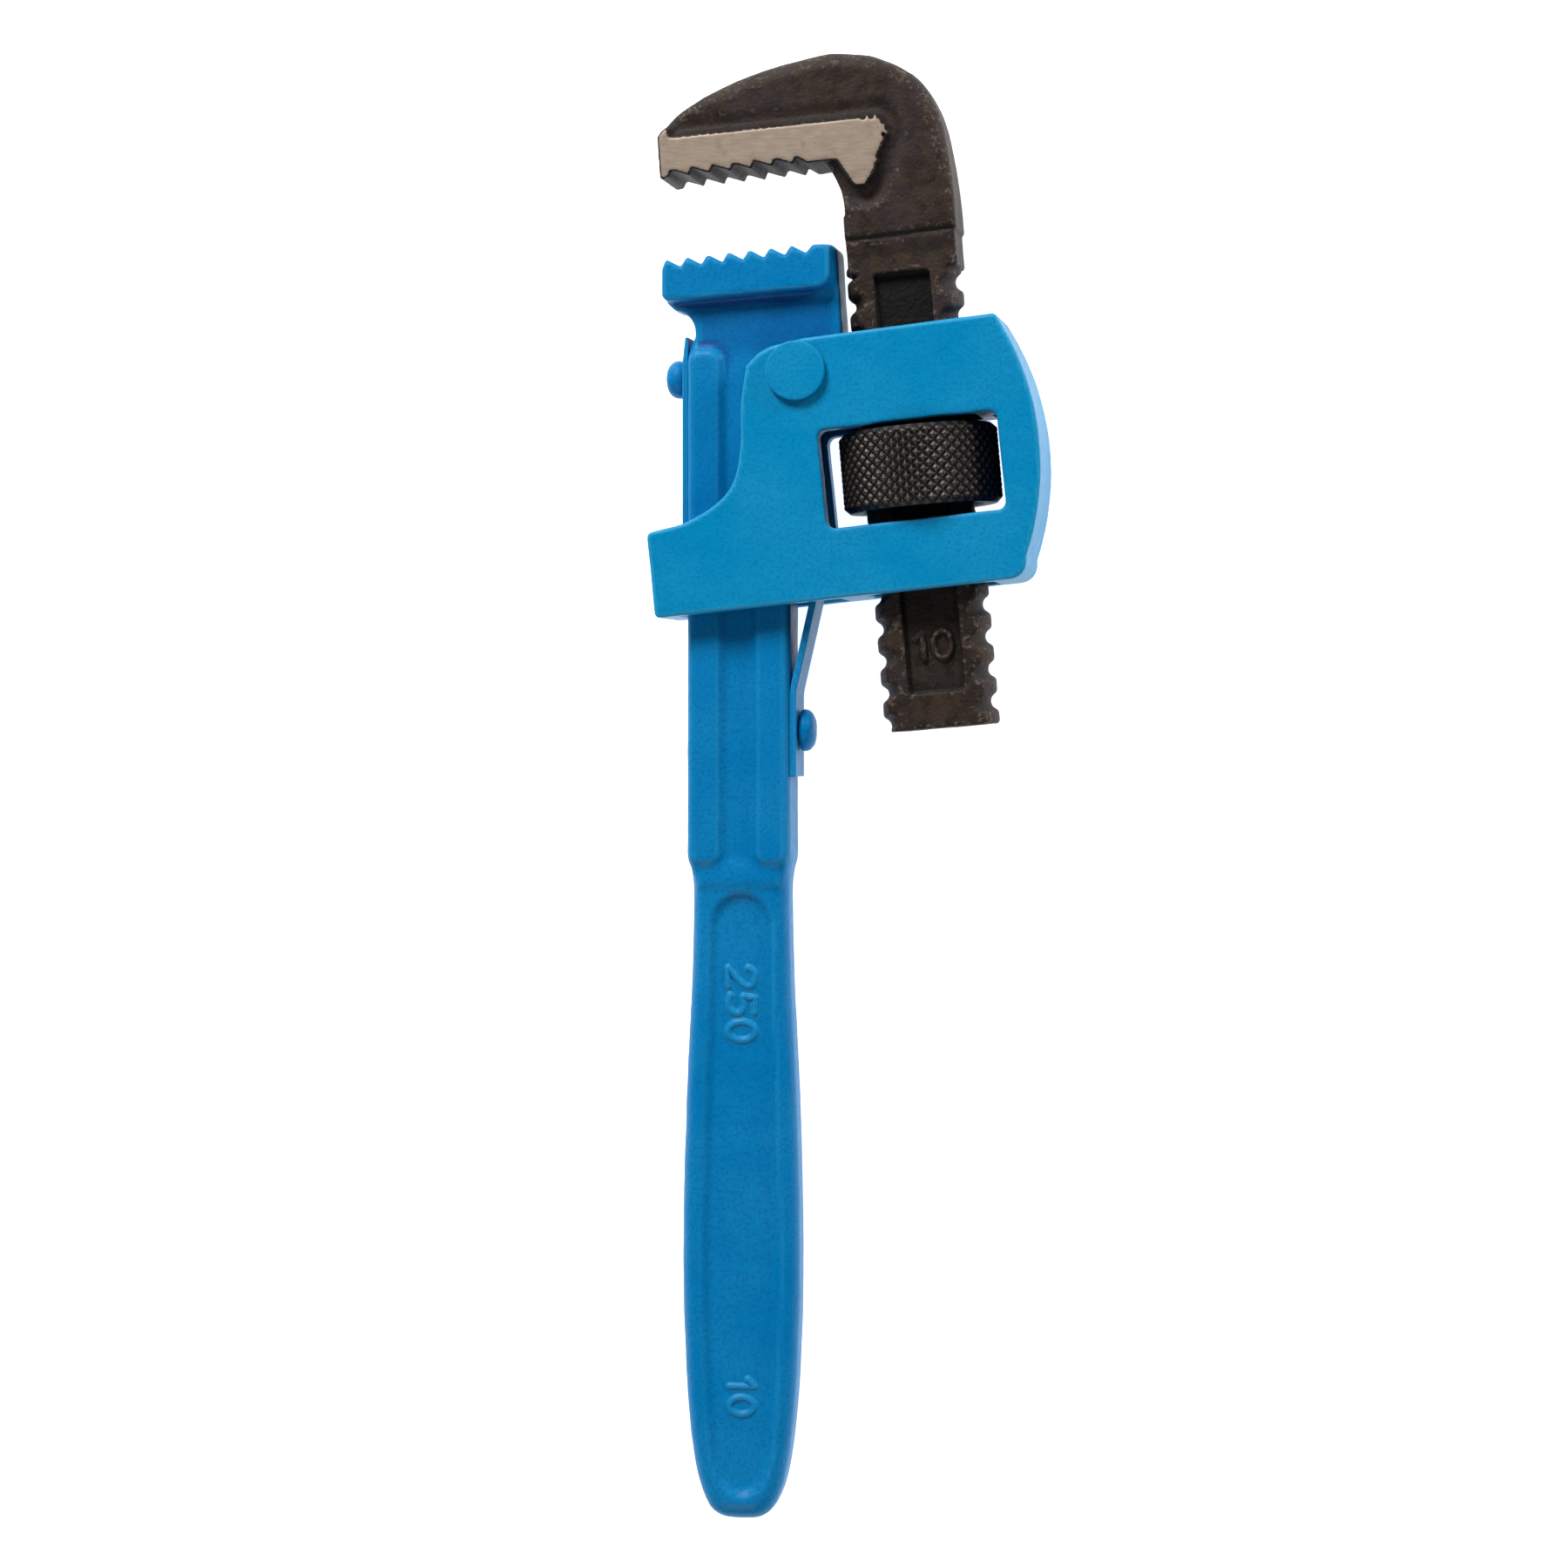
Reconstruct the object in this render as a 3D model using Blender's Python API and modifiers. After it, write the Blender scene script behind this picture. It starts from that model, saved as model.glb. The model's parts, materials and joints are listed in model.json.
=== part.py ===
"""Pipe wrench of the Stillson pattern, 10 inches long, lying on its side.

World frame: +Y runs along the handle towards the jaws, +X is the side of the hook jaw's shank,
and +Z is across the flats. The origin is at the bottom centre of the bounding box. The sizes
below are in millimetres from the datum: the pivot pin's axis, at mid-depth of the wrench.
"""

import math

import bmesh
import bpy
from mathutils import Matrix, Vector

MM = 0.001
TURN = 2 * math.pi

# Rest pose: the frame hangs loose on its pin, and the jaw leans back a little inside the frame.
FRAME_TILT = math.radians(6.0)
JAW_TILT = math.radians(4.9)

# Half depths along Z
PLATE_DEPTH = 5.0
RAIL_DEPTH = 6.0
HEEL_DEPTH = 8.0
GRIP_DEPTH = 5.2
PANEL_DEPTH = 3.3
FRAME_DEPTH = 10.5
SLOT_DEPTH = 6.4
SHANK_DEPTH = 6.0
HEAD_DEPTH = 7.0
PAD_DEPTH = 8.0
SPRING_DEPTH = 5.0

# Handle
CENTRE_X = -10.8
SHANK_LEFT, SHANK_RIGHT = -19.4, -2.3
SHANK_END = -84.6
RAIL_WIDTH, RAIL_INSET = 5.0, 0.2
BACK_RAIL_TOP, FRONT_RAIL_TOPS = 3.8, (-11.0, -16.0)
HEEL_TIP = (-23.2, 19.9)
HEEL_PITCH, HEEL_RISE = 3.65, 0.34
TEETH = 7
BOSS_RADIUS = 7.6

# Pivot pin, and the gap round it and between all pieces that touch
PIN_RADIUS = 3.5
PIN_HEAD_RADIUS, PIN_HEAD_HEIGHT = 5.15, 1.3
CLEARANCE = 0.3

# Leaf springs and their rivets
BACK_LEAF, FRONT_LEAF = 1.1, 1.2
BACK_RIVET_Y, FRONT_RIVET_Y = -0.4, -61.7
RIVET_SHANK, RIVET_DEPTH = 1.6, 4.0

# Frame, in its own tilted axes
SLOT_LEFT, SLOT_RIGHT = -25.2, 29.5
WEB_LEFT, WEB_RIGHT, WEB_TOP = 2.8, 7.6, -28.4
WINDOW = (2.5, 33.6, -27.6, -10.6)
ARC_CENTRE, ARC_RADIUS = (-7.55, -16.2), 48.0

# Hook jaw and nut, in the jaw's own tilted axes
AXIS_X = 18.9
THREAD_PITCH = 5.6
THREAD_PHASE = 12.0
THREAD_OUTER, THREAD_ROOT = 10.0, 8.75
RACK_TOP, RACK_END = 17.6, -63.2
JAW_TIP_Y, JAW_VALLEY_Y = 35.8, 37.0
JAW_VALLEY_X, JAW_PITCH = -19.1, 3.65
NUT_RADIUS, NUT_HEIGHT, NUT_Y = 13.6, 13.9, -18.05
THREAD_STEPS = 24


def clear_scene():
    for item in list(bpy.data.objects):
        bpy.data.objects.remove(item)


def collection(name):
    made = bpy.data.collections.new(name)
    bpy.context.scene.collection.children.link(made)
    return made


def rounded(corners, steps=4):
    """Points of a closed outline, from (x, y) or (x, y, radius) corners."""
    points = []
    for i, corner in enumerate(corners):
        here = Vector(corner[:2])
        if len(corner) < 3:
            points.append(here)
            continue
        radius = corner[2]
        back = (Vector(corners[i - 1][:2]) - here).normalized()
        ahead = (Vector(corners[(i + 1) % len(corners)][:2]) - here).normalized()
        half = back.angle(ahead) / 2
        centre = here + (back + ahead).normalized() * radius / math.sin(half)
        first = here + back * radius / math.tan(half) - centre
        last = here + ahead * radius / math.tan(half) - centre
        angle = math.atan2(first.y, first.x)
        turn = (math.atan2(last.y, last.x) - angle + math.pi) % TURN - math.pi
        for k in range(steps + 1):
            at = angle + turn * k / steps
            points.append(centre + radius * Vector((math.cos(at), math.sin(at))))
    return points


def smooth(points, steps=3):
    """A Catmull-Rom curve through open (x, y) points, with its ends kept."""
    ends = [points[0], *points, points[-1]]
    curve = []
    for a, b, c, d in zip(ends, ends[1:], ends[2:], ends[3:]):
        a, b, c, d = Vector(a), Vector(b), Vector(c), Vector(d)
        for k in range(steps):
            t = k / steps
            pull = (c - a) * t + (2 * a - 5 * b + 4 * c - d) * t**2 + (3 * b - a - 3 * c + d) * t**3
            curve.append(tuple(b + pull / 2))
    return [*curve, tuple(points[-1])]


def material(name, color, roughness, metallic):
    made = bpy.data.materials.new(name)
    made.use_nodes = True
    shader = made.node_tree.nodes["Principled BSDF"]
    shader.inputs["Base Color"].default_value = (*color, 1)
    shader.inputs["Roughness"].default_value = roughness
    shader.inputs["Metallic"].default_value = metallic
    return made


def new_object(name, mesh):
    made = bpy.data.objects.new(name, mesh)
    bpy.context.scene.collection.objects.link(made)
    return made


def tidy_mesh(mesh, fill_holes=False):
    """Welds caps, joins their flat triangles, fills open ends and turns the faces outwards."""
    work = bmesh.new()
    work.from_mesh(mesh)
    bmesh.ops.remove_doubles(work, verts=work.verts, dist=1e-6)
    if fill_holes:
        bmesh.ops.holes_fill(work, edges=work.edges)
    bmesh.ops.dissolve_limit(work, angle_limit=1e-4, verts=work.verts, edges=work.edges)
    bmesh.ops.recalc_face_normals(work, faces=work.faces)
    work.to_mesh(mesh)
    work.free()


def as_mesh(source, fill_holes=False):
    """Replaces an object by the mesh it evaluates to, in the same place."""
    bpy.context.view_layer.update()
    graph = bpy.context.evaluated_depsgraph_get()
    mesh = bpy.data.meshes.new_from_object(source.evaluated_get(graph))
    tidy_mesh(mesh, fill_holes)
    name, place = source.name, source.matrix_world.copy()
    bpy.data.objects.remove(source)
    made = new_object(name, mesh)
    made.matrix_world = place
    return made


def plate(name, corners, low, high, bevel=0.0, steps=4):
    """A flat plate between two depths, with its edges rounded by a bevel."""
    curve = bpy.data.curves.new(name, "CURVE")
    curve.dimensions = "2D"
    curve.fill_mode = "BOTH"
    curve.extrude = (high - low) / 2 * MM
    points = rounded(corners, steps)
    spline = curve.splines.new("POLY")
    spline.points.add(len(points) - 1)
    for point, (x, y) in zip(spline.points, points):
        point.co = (x * MM, y * MM, 0, 1)
    spline.use_cyclic_u = True
    drawn = new_object(name, curve)
    drawn.location.z = (high + low) / 2 * MM
    solid = as_mesh(drawn)
    if bevel:
        edges = solid.modifiers.new("edges", "BEVEL")
        edges.width = bevel * MM
        edges.segments = 2
        edges.limit_method = "ANGLE"
        edges.angle_limit = math.radians(40)
        solid = as_mesh(solid)
    return solid


def cylinder(name, radius, length, segments=32):
    """A cylinder about Z, centred."""
    mesh = bpy.data.meshes.new(name)
    work = bmesh.new()
    bmesh.ops.create_cone(
        work, cap_ends=True, segments=segments, radius1=radius * MM, radius2=radius * MM, depth=length * MM
    )
    work.to_mesh(mesh)
    work.free()
    return new_object(name, mesh)


def turned(name, profile, segments=32):
    """A solid of revolution about Z, from (radius, height) points listed top to bottom."""
    mesh = bpy.data.meshes.new(name)
    points = [(radius * MM, 0, height * MM) for radius, height in profile]
    mesh.from_pydata(points, [(i, i + 1) for i in range(len(points) - 1)], [])
    solid = new_object(name, mesh)
    screw = solid.modifiers.new("turn", "SCREW")
    screw.steps = screw.render_steps = segments
    screw.use_merge_vertices = True
    screw.merge_threshold = 1e-5
    return as_mesh(solid)


def thread_bar(name, profile, turns):
    """A helical bar about Z: a closed profile of (radius, height) points swept up whole turns."""
    mesh = bpy.data.meshes.new(name)
    count = len(profile)
    points = [(radius * MM, 0, height * MM) for radius, height in profile]
    mesh.from_pydata(points, [(i, (i + 1) % count) for i in range(count)], [])
    bar = new_object(name, mesh)
    screw = bar.modifiers.new("thread", "SCREW")
    screw.steps = screw.render_steps = THREAD_STEPS
    screw.iterations = turns
    screw.screw_offset = THREAD_PITCH * MM
    return as_mesh(bar, fill_holes=True)


def about_y(solid, x=0.0, y=0.0):
    """Turns an object made about Z to lie about Y, with its +X kept, and moves it."""
    solid.data.transform(Matrix.Rotation(-math.pi / 2, 4, "X"))
    solid.location = (x * MM, y * MM, 0)
    return solid


def combine(solid, tool, operation, solver="EXACT"):
    step = solid.modifiers.new(operation.lower(), "BOOLEAN")
    step.operation = operation
    step.object = tool
    step.solver = solver
    tool.hide_render = True
    tool.display_type = "WIRE"
    bpy.context.scene.collection.objects.unlink(tool)
    TOOLS.objects.link(tool)


def panel_cuts(solid, corners, floor, solver="EXACT"):
    """Cuts the same recess into both flats."""
    for side in (-1, 1):
        low, high = sorted((side * floor, side * (floor + 10)))
        combine(solid, plate(solid.name + "_recess", corners, low, high), "DIFFERENCE", solver)


def mirrored(right_half):
    """A closed outline from the (half width, y) points of its right side, listed top to bottom."""
    right = [(CENTRE_X + half, y) for half, y in right_half]
    left = [(CENTRE_X - half, y) for half, y in reversed(right_half) if half]
    return right + left


def rivet_hole(name, x, y):
    """A cutter along X for a spring's rivet, centred on a side face of the shank."""
    hole = cylinder(name, RIVET_SHANK + CLEARANCE, 2 * RIVET_DEPTH, 16)
    hole.rotation_euler.y = math.pi / 2
    hole.location = (x * MM, y * MM, 0)
    return hole


def heel_teeth():
    """Saw teeth that are steep on the left, each tip followed by its valley."""
    x, y = HEEL_TIP
    for i in range(TEETH):
        yield (x + i * HEEL_PITCH, y + i * HEEL_RISE)
        yield (x + i * HEEL_PITCH + 2.6, y + i * HEEL_RISE - 1.35)


def make_handle():
    boss = [
        (BOSS_RADIUS * math.cos(a), BOSS_RADIUS * math.sin(a))
        for a in (math.radians(degrees) for degrees in range(-52, 1, 13))
    ]
    shank = [
        (SHANK_RIGHT - 0.6, SHANK_END - 6), (SHANK_RIGHT, SHANK_END, 2), (SHANK_RIGHT, -15.5, 3),
        *boss, (7.1, 8.8, 2), (6.2, 22.1, 1.2), (2.4, 22.0), (0.5, 19),
        (-22, 17), (-23.2, 15), (-23.2, 12.4, 1), (-22.2, 11.2, 1), (-18.6, 11.2, 3.6),
        (-18.6, 6.6), (SHANK_LEFT, 5), (SHANK_LEFT, SHANK_END, 2), (SHANK_LEFT + 0.6, SHANK_END - 6),
    ]
    handle = plate("handle", shank, -PLATE_DEPTH, PLATE_DEPTH)
    slab = [
        (-23.9, 13.4, 1), (-23.1, 12.6, 1), (5.6, 14.8, 2.5), (5.4, 22.1, 1),
        (2.5, 22.0), *reversed(list(heel_teeth())), (-23.9, 18.2),
    ]
    combine(handle, plate("heel_slab", slab, -HEEL_DEPTH, HEEL_DEPTH), "UNION")
    grip = mirrored(smooth([
        (8.3, SHANK_END + 1), (8.25, -89), (8.6, -103), (9.65, -123.5), (10.3, -146), (10.25, -161),
        (9.6, -177), (8.3, -189), (6.2, -196.2), (3.6, -198.8), (0, -199.25),
    ]))
    combine(handle, plate("handle_grip", grip, -GRIP_DEPTH, GRIP_DEPTH, bevel=2.4), "UNION")
    for left, left_top, right_top in (
        (SHANK_LEFT + RAIL_INSET, BACK_RAIL_TOP, BACK_RAIL_TOP),
        (SHANK_RIGHT - RAIL_INSET - RAIL_WIDTH, *FRONT_RAIL_TOPS),
    ):
        right = left + RAIL_WIDTH
        rail = [
            (left, SHANK_END, 1.5), (right, SHANK_END, 1.5), (right, right_top, 1.5), (left, left_top, 1.5),
        ]
        combine(handle, plate("handle_rail", rail, -RAIL_DEPTH, RAIL_DEPTH), "UNION")
    panel = mirrored([
        (0, -90.8), (3.0, -91.4), (4.5, -94.4), (5.95, -137), (6.0, -158), (5.4, -181),
        (3.6, -190), (1.6, -193.6), (0, -194.2),
    ])
    panel_cuts(handle, panel, PANEL_DEPTH)
    combine(handle, cylinder("pin_bore", PIN_RADIUS + CLEARANCE, 30), "DIFFERENCE")
    combine(handle, rivet_hole("back_rivet_hole", SHANK_LEFT, BACK_RIVET_Y), "DIFFERENCE")
    combine(handle, rivet_hole("front_rivet_hole", SHANK_RIGHT, FRONT_RIVET_Y), "DIFFERENCE")
    return handle


def frame_arc(low, high, count=9):
    """Points up the bulged right side of the frame."""
    x, y = ARC_CENTRE
    for k in range(count):
        level = low + (high - low) * k / (count - 1)
        yield (x + math.sqrt(ARC_RADIUS**2 - (level - y) ** 2), level)


def make_frame():
    throat = smooth([
        (-8.5, 2.0), (-10.1, -4.2), (-11.0, -11.7), (-12.9, -17.8), (-16.4, -21.2), (-21.9, -23.7),
        (-25.5, -24.3),
    ])
    outline = [
        (-28.95, -39.6, 0.8), (36.0, -39.6, 3), *frame_arc(-36, 4.8), (35.1, 5.9, 0.8),
        (1.7, 5.5), (-4.3, 4.7), (-6.5, 3.7), *throat, (-28.9, -24.8, 1),
    ]
    frame = plate("frame", outline, -FRAME_DEPTH, FRAME_DEPTH, bevel=0.6)
    slot = [
        (SLOT_LEFT, -50), (WEB_LEFT, -50), (WEB_LEFT, WEB_TOP), (WEB_RIGHT, WEB_TOP), (WEB_RIGHT, -50),
        (SLOT_RIGHT, -50), (SLOT_RIGHT, 20), (SLOT_LEFT, 20),
    ]
    combine(frame, plate("frame_slot", slot, -SLOT_DEPTH, SLOT_DEPTH), "DIFFERENCE")
    left, right, low, high = WINDOW
    window = [(left, low, 1.2), (right, low, 1.2), (right, high, 1.2), (left, high, 1.2)]
    combine(frame, plate("frame_window", window, -20, 20), "DIFFERENCE")
    combine(frame, cylinder("frame_bore", PIN_RADIUS + CLEARANCE, 30), "DIFFERENCE")
    return frame


def make_pin():
    seat = FRAME_DEPTH + CLEARANCE
    top = seat + PIN_HEAD_HEIGHT
    upper = [(0, top), (PIN_HEAD_RADIUS - 0.4, top), (PIN_HEAD_RADIUS, top - 0.4),
             (PIN_HEAD_RADIUS, seat), (PIN_RADIUS, seat)]
    return turned("frame_pin", upper + [(radius, -height) for radius, height in reversed(upper)])


def jaw_teeth():
    """Teeth that are steep on their right side, valley then tip, from left to right."""
    for i in range(TEETH):
        x = JAW_VALLEY_X + i * JAW_PITCH
        yield (x - 0.6, JAW_TIP_Y)
        yield (x, JAW_VALLEY_Y)


def make_hook_jaw():
    length = RACK_TOP - RACK_END
    rod = about_y(cylinder("hook_jaw", THREAD_OUTER, length, 48), AXIS_X, RACK_END + length / 2)
    groove = [
        (THREAD_OUTER + 1, 2.3), (THREAD_OUTER - 0.9, 1.0), (THREAD_ROOT, 0.45),
        (THREAD_ROOT, -0.45), (THREAD_OUTER - 0.9, -1.0), (THREAD_OUTER + 1, -2.3),
    ]
    turns = 15
    start = THREAD_PHASE + THREAD_PITCH / 4 - (turns - 1) * THREAD_PITCH
    bar = about_y(thread_bar("rack_thread", groove, turns), AXIS_X, start)
    combine(rod, bar, "DIFFERENCE", "MANIFOLD")
    neck = [(9.9, RACK_TOP - 1.2), (28.4, RACK_TOP - 1.2), (28.4, 26), (9.9, 26)]
    combine(rod, plate("jaw_neck", neck, -SHANK_DEPTH - 1, SHANK_DEPTH + 1), "UNION", "MANIFOLD")
    flats = [(AXIS_X + side * 15, y) for side, y in ((-1, -80), (1, -80), (1, 40), (-1, 40))]
    combine(rod, plate("shank_flats", flats, -SHANK_DEPTH, SHANK_DEPTH), "INTERSECT", "MANIFOLD")
    back = smooth([
        (29.3, 24), (29.2, 31), (28.3, 40.1), (26.5, 45.8), (23.6, 49.7), (17.8, 53.1), (12.6, 54.3),
        (8.0, 54.5), (-3.1, 52.7), (-11.5, 49.9), (-17.5, 46.6), (-21.0, 43.2),
    ])
    throat = smooth([(6.6, 36.8), (8.3, 34.3), (9.7, 31.0), (10.2, 27.5), (10.0, 24)])
    head = [*throat, (10.0, 22.2), (29.3, 22.2), *back, (-21.0, 38)]
    combine(rod, plate("jaw_head", head, -HEAD_DEPTH, HEAD_DEPTH, bevel=1.2), "UNION", "MANIFOLD")
    pad = [
        (-21.3, 35.6), *jaw_teeth(), (4.6, 35.7), (6.9, 35.8), (9.7, 35.8, 0.6), (11.4, 32.6),
        (13.4, 30.5, 1), (15.6, 32.6, 1), (19.1, 40.4, 1.5), (17.4, 42.7, 1), (-18.9, 42.8),
        (-19.4, 44.7), (-21.2, 43.0, 0.4),
    ]
    combine(rod, plate("jaw_pad", pad, -PAD_DEPTH, PAD_DEPTH), "UNION", "MANIFOLD")
    recess = [(14.2, -57, 0.8), (23.9, -57, 0.8), (23.9, 15.7, 0.8), (14.2, 15.7, 0.8)]
    panel_cuts(rod, recess, SHANK_DEPTH - 1, "MANIFOLD")
    return rod


def make_nut():
    half = NUT_HEIGHT / 2
    bore = THREAD_OUTER + CLEARANCE
    blank = [
        (bore, half), (NUT_RADIUS - 1, half), (NUT_RADIUS, half - 1),
        (NUT_RADIUS, 1 - half), (NUT_RADIUS - 1, -half), (bore, -half), (bore, half),
    ]
    nut = about_y(turned("adjusting_nut", blank, 48), AXIS_X, NUT_Y)
    crest = THREAD_ROOT + CLEARANCE
    ridge = [(bore + 0.4, -1.1), (bore, -1.1), (crest, -0.5), (crest, 0.5), (bore, 1.1), (bore + 0.4, 1.1)]
    turns = 1
    lowest = NUT_Y - THREAD_PITCH * turns / 2
    start = THREAD_PHASE + THREAD_PITCH * (0.5 + round((lowest - THREAD_PHASE) / THREAD_PITCH - 0.5))
    bar = thread_bar("nut_thread", ridge, turns)
    bar.data.transform(Matrix.Rotation(math.pi / 2, 4, "Z"))
    combine(nut, about_y(bar, AXIS_X, start), "UNION")
    return nut


def make_leaf(name, corners, rivet_x, rivet_y):
    """A leaf spring, drawn edge on, with a hole for its rivet."""
    leaf = plate(name, corners, -SPRING_DEPTH, SPRING_DEPTH)
    combine(leaf, rivet_hole(name + "_hole", rivet_x, rivet_y), "DIFFERENCE")
    return leaf


def make_rivet(name, radius, height, seat_x, y, outward):
    """A round-headed rivet along X: outward is +1 or -1."""
    profile = [
        (0, height), (radius * 0.62, height), (radius * 0.9, height * 0.72), (radius, height * 0.35),
        (radius * 0.96, 0), (RIVET_SHANK, 0), (RIVET_SHANK, -RIVET_DEPTH), (0, -RIVET_DEPTH),
    ]
    rivet = turned(name, profile, 24)
    rivet.rotation_euler.y = outward * math.pi / 2
    rivet.location = (seat_x * MM, y * MM, 0)
    return rivet


def make_back_spring():
    """A straight leaf down the back of the shank, with a tapered tip above its rivet."""
    inner = SHANK_LEFT - CLEARANCE
    outer = inner - BACK_LEAF
    outline = [(outer, -38.5), (inner, -38.5), (inner, 6.6), (outer + 0.5, 6.6), (outer, 2)]
    leaf = make_leaf("back_spring", outline, inner, BACK_RIVET_Y)
    return leaf, make_rivet("back_spring_rivet", 3.35, 3.2, outer - CLEARANCE, BACK_RIVET_Y, -1)


def make_front_spring():
    """A leaf that bends away from the shank to press on the frame's web."""
    inner = SHANK_RIGHT + CLEARANCE
    outer = inner + FRONT_LEAF
    outline = [
        (inner, -69.8), (outer, -69.8), (outer, -55.2, 8), (outer + 5.9, -29), (outer + 4.7, -29),
        (inner, -55.0, 8),
    ]
    leaf = make_leaf("front_spring", outline, inner, FRONT_RIVET_Y)
    return leaf, make_rivet("front_spring_rivet", 3.7, 2.6, outer + CLEARANCE, FRONT_RIVET_Y, 1)


def empty(name, tilt, parent):
    made = bpy.data.objects.new(name, None)
    bpy.context.scene.collection.objects.link(made)
    made.rotation_euler.z = tilt
    made.parent = parent
    return made


def carry(solid, parent):
    """Parents a solid and its cutters to an empty, keeping the places they were drawn at."""
    solid.parent = parent
    for step in solid.modifiers:
        step.object.parent = parent


def smooth_faces(solid):
    solid.data.shade_smooth()
    solid.data.set_sharp_from_angle(angle=math.radians(30))


def set_origin(parts, datum):
    """Moves the datum so that the wrench's bounding box stands on the origin."""
    bpy.context.view_layer.update()
    graph = bpy.context.evaluated_depsgraph_get()
    points = []
    for part in parts:
        shape = part.evaluated_get(graph)
        points += [shape.matrix_world @ vertex.co for vertex in shape.data.vertices]
    low = Vector([min(p[i] for p in points) for i in range(3)])
    high = Vector([max(p[i] for p in points) for i in range(3)])
    datum.location = (-(low.x + high.x) / 2, -(low.y + high.y) / 2, -low.z)


clear_scene()
WRENCH = collection("pipe_wrench")
TOOLS = collection("cutters")

datum = empty("wrench_datum", 0, None)
pivot = empty("frame_pivot", FRAME_TILT, datum)
jaw_axis = empty("jaw_axis", JAW_TILT - FRAME_TILT, pivot)
carriers = {"handle": datum, "frame": pivot, "jaw": jaw_axis}

blue = material("blue_enamel", (0.0, 0.19, 0.46), 0.42, 0.0)
forged = material("forged_scale", (0.038, 0.028, 0.022), 0.55, 0.4)
oxide = material("black_oxide", (0.022, 0.018, 0.016), 0.35, 0.6)

pieces = [
    (make_handle(), "handle", blue), (make_frame(), "frame", blue), (make_pin(), "frame", blue),
    (make_hook_jaw(), "jaw", forged), (make_nut(), "jaw", oxide),
    *((piece, "handle", blue) for piece in (*make_back_spring(), *make_front_spring())),
]
for piece, carrier, finish in pieces:
    carry(piece, carriers[carrier])
    piece.data.materials.append(finish)
    smooth_faces(piece)
    bpy.context.scene.collection.objects.unlink(piece)
    WRENCH.objects.link(piece)
set_origin([piece for piece, _, _ in pieces], datum)
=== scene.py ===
"""Looks of the pipe wrench: fine forged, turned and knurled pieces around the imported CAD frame.

Lengths are in millimetres from the pivot pin's axis at mid-depth, in each piece's own axes, where
nothing else is said. A forged piece or a spring is a distance field, negative inside, that is sampled
on a block of space and then skinned. The pin, the rivets and the nut are turned from a profile.
"""

import json
import math

import bpy
import numpy as np
import openvdb
from mathutils import Matrix, Vector


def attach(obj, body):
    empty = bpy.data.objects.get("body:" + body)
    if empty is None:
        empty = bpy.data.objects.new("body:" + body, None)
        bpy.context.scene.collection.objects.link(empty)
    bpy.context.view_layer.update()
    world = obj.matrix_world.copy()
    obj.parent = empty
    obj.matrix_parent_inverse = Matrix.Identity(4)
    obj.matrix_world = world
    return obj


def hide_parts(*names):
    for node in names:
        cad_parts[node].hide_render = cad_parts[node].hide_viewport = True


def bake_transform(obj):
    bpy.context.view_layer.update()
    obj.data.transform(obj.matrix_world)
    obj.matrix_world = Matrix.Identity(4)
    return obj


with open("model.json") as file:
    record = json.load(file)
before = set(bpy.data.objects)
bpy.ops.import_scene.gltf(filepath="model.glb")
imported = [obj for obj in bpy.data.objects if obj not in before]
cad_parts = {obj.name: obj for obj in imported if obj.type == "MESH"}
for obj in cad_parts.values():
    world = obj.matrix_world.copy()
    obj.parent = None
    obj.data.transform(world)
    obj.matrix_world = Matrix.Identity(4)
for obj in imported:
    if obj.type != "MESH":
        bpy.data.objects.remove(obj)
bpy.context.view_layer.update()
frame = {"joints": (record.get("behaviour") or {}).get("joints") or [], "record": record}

JOINTS = {joint["name"]: joint for joint in frame["joints"]}
PIVOT = Vector(JOINTS["frame_pivot"]["pos_m"])
SLIDE = Vector(JOINTS["hook_slide"]["axis"])
TURNS_PER_METRE = frame["record"]["behaviour"]["couplings"][0]["ratio"] / (2 * math.pi)

MM = 0.001
FRAME_TILT = math.radians(6.0)
JAW_TILT = math.atan2(-SLIDE.x, SLIDE.y)

# Cells of the blocks that the fields are sampled on
HANDLE_CELL, FRAME_CELL, HOOK_CELL, LEAF_CELL, NUMBER_CELL = 0.405, 0.36, 0.344, 0.22, 0.13

# Half depths
PLATE, RAIL, HEEL, GRIP, PANEL = 5.0, 6.0, 8.0, 5.2, 4.2
CHEEK, SLOT = 10.5, 6.4
SHANK, HEAD, PAD, RECESS = 6.0, 7.0, 8.0, 4.4
SPRING = 5.0

# Handle
CENTRE_X, PANEL_SHIFT = -10.8, 0.4
SHANK_LEFT, SHANK_RIGHT, SHANK_END = -19.4, -2.3, -84.6
RAIL_WIDTH, RAIL_CORNER = 5.1, 1.6
BOSS_RADIUS = 7.6
HEEL_TIP, HEEL_PITCH, HEEL_RISE = (-23.2, 19.9), 3.65, 0.34
HEEL_SLOPE, HEEL_DEPTH = 2.6, 1.35
TEETH = 7

# Frame
END_CENTRE, END_RADIUS = (-7.55, -16.2), 48.0
WINDOW_LEFT, WINDOW_RIGHT, WINDOW_LOW, WINDOW_HIGH = 2.5, 33.6, -27.6, -10.6
WINDOW_CORNER, WINDOW_OFFSET = 1.4, 0.7

# Pin and rivets
PIN_HEAD, PIN_RADIUS, PIN_GAP = (5.15, 1.3), 3.5, 0.05
BACK_RIVET_Y, FRONT_RIVET_Y = -0.4, -61.7
RIVET_SHANK, RIVET_DEPTH = 1.6, 4.0

# Springs
LEAF_GAP, BACK_LEAF, FRONT_LEAF = 0.3, 1.1, 1.2
LEAF_MARGIN = 0.8

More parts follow.
